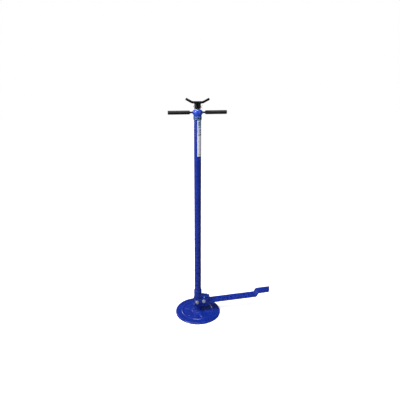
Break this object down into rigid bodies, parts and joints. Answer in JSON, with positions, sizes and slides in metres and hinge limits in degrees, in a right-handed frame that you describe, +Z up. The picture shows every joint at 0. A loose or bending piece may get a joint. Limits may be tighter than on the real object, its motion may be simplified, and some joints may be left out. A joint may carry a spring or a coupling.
{
  "type": "under-hoist support stand",
  "caption": "Tall support stand with a round base, foot pedal lift, screw hub with cross handle and cradle saddle.",
  "frame": {"origin": "on the floor, at the column's axis", "axes": "+Z up along the column, +X along the foot pedal away from the column, +Y to the rear"},
  "size_m": [0.6754, 0.3, 1.4058],
  "materials": {
    "blue_paint": "gloss royal-blue enamel",
    "black_paint": "satin black enamel",
    "zinc": "bright zinc plate",
    "yellow_zinc": "pale yellow zinc plate",
    "nylon": "cream nylon",
    "spring_steel": "oiled spring steel",
    "bearing_steel": "ground steel with paint overspray",
    "cage_steel": "pressed steel",
    "screw_steel": "machined and lightly oiled",
    "black_steel": "black oxide",
    "grip_rubber": "moulded rubber",
    "label_film": "printed vinyl film, no lettering"
  },
  "bodies": {
    "base": {"base_plate": "blue_paint", "guide_tube": "blue_paint", "pivot_bracket": "blue_paint", "fulcrum_bolt": "zinc", "fulcrum_nut": "zinc", "fulcrum_nut_ring": "nylon", "fulcrum_washers": "zinc", "fulcrum_spacers": "zinc", "return_spring": "spring_steel", "spring_pin": "zinc"},
    "pedal": {"pedal_bar": "blue_paint", "pedal_cheek_front": "blue_paint", "pedal_cheek_rear": "blue_paint"},
    "column": {"column_tube": "blue_paint", "column_foot": "blue_paint", "lift_bolt": "zinc", "lift_nut": "yellow_zinc", "lift_nut_ring": "nylon", "lift_washers": "zinc", "column_head": "blue_paint", "key_screw": "black_steel", "bearing_lower_race": "bearing_steel", "label": "label_film"},
    "bearing": {"bearing_cage": "cage_steel", "bearing_balls": "bearing_steel"},
    "hub": {"bearing_upper_race": "bearing_steel", "hub": "blue_paint", "handle_rod_left": "black_steel", "handle_rod_right": "black_steel", "grip_left": "grip_rubber", "grip_right": "grip_rubber"},
    "lift": {"lifting_screw": "screw_steel", "stop_ring": "screw_steel", "stop_ring_pin": "zinc", "saddle_sleeve": "black_paint", "saddle_plate": "black_paint", "cotter_pin": "zinc"}
  },
  "joints": [
    {"name": "pedal_press", "type": "hinge", "parent": "base", "child": "pedal", "pos_m": [0.035, 0, 0.095], "axis": [0, 1, 0], "range_deg": [0, 13], "stiffness_Nm_per_rad": 2.2, "springref_deg": -74.48},
    {"name": "column_lift", "type": "slide", "parent": "base", "child": "column", "axis": [0, 0, 1], "range_m": [0, 0.01025]},
    {"name": "hub_spin", "type": "hinge", "parent": "column", "child": "hub", "pos_m": [0, 0, 1.322], "axis": [0, 0, 1], "range_deg": [0, 36000]},
    {"name": "cage_spin", "type": "hinge", "parent": "column", "child": "bearing", "pos_m": [0, 0, 1.295], "axis": [0, 0, 1], "range_deg": [0, 18000]},
    {"name": "screw_lift", "type": "slide", "parent": "column", "child": "lift", "axis": [0, 0, 1], "range_m": [0, 0.6]}
  ],
  "couplings": [
    {"joint": "column_lift", "follows": "pedal_press", "m_per_rad": 0.04518},
    {"joint": "cage_spin", "follows": "hub_spin", "ratio": 0.5},
    {"joint": "screw_lift", "follows": "hub_spin", "m_per_rad": 0.00095493}
  ]
}
